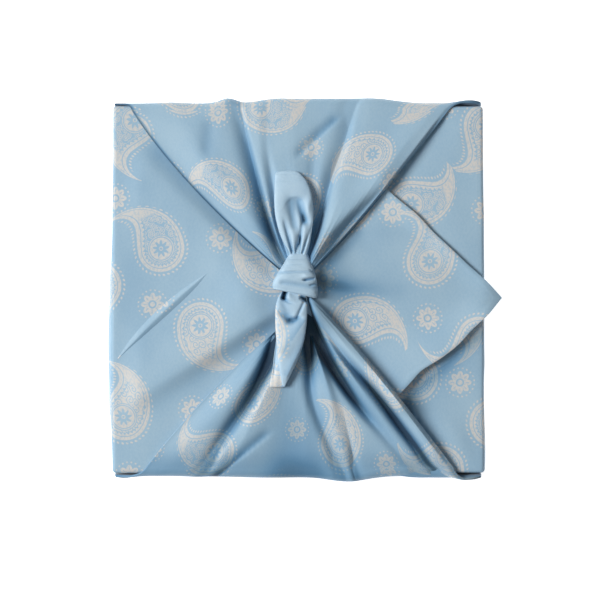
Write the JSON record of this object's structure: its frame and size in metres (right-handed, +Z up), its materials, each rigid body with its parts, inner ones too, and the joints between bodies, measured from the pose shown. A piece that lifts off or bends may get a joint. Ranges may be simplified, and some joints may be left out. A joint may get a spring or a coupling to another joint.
{
  "type": "furoshiki wrap on a flat gift box",
  "caption": "Square cloth folded over a flat square box and tied on top in a knot, with pleats that fan out to the edges, short tails and a free corner past one side.",
  "frame": {"origin": "under the middle of the box, on the surface that the cloth rests on", "axes": "+Z up, +X towards the side that the free corner of the cloth hangs past, +Y towards the side that the upper tail of the knot points to"},
  "size_m": [0.3217, 0.3137, 0.0558],
  "materials": {
    "satin": "light blue satin weave with a silver-grey print",
    "card": "plain matt card"
  },
  "bodies": {
    "root": {"cloth": "satin", "box": "card"}
  },
  "joints": []
}
